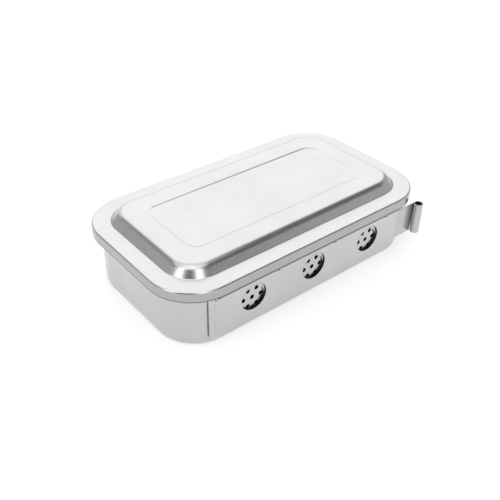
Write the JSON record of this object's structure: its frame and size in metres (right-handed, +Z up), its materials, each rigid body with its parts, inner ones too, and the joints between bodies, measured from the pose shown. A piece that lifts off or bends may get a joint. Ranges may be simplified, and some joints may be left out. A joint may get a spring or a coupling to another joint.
{
  "type": "instrument tray",
  "caption": "Shallow rounded sheet-steel instrument box with a lift-off domed lid and a sliding shutter over round vents in one long side.",
  "frame": {"origin": "centre of the tray's flat base, at its underside", "axes": "+X along the length towards the shutter's pull, -Y towards the long side with the vents, +Z up"},
  "size_m": [0.21, 0.1216, 0.0516],
  "materials": {
    "tray_steel": "satin stainless sheet",
    "lid_steel": "satin stainless sheet, slightly brighter on the dome",
    "guide_steel": "satin stainless sheet with small spot welds",
    "slide_steel": "bright rolled stainless strip"
  },
  "bodies": {
    "tray": {"tray_body": "tray_steel", "vent_guide": "guide_steel"},
    "lid": {"lid": "lid_steel"},
    "shutter": {"vent_slide": "slide_steel"}
  },
  "joints": [
    {"name": "lid_lift", "type": "slide", "parent": "tray", "child": "lid", "axis": [0, 0, 1], "range_m": [0, 0.06]},
    {"name": "vent_close", "type": "slide", "parent": "tray", "child": "shutter", "axis": [-1, 0, 0], "range_m": [0, 0.017]}
  ]
}
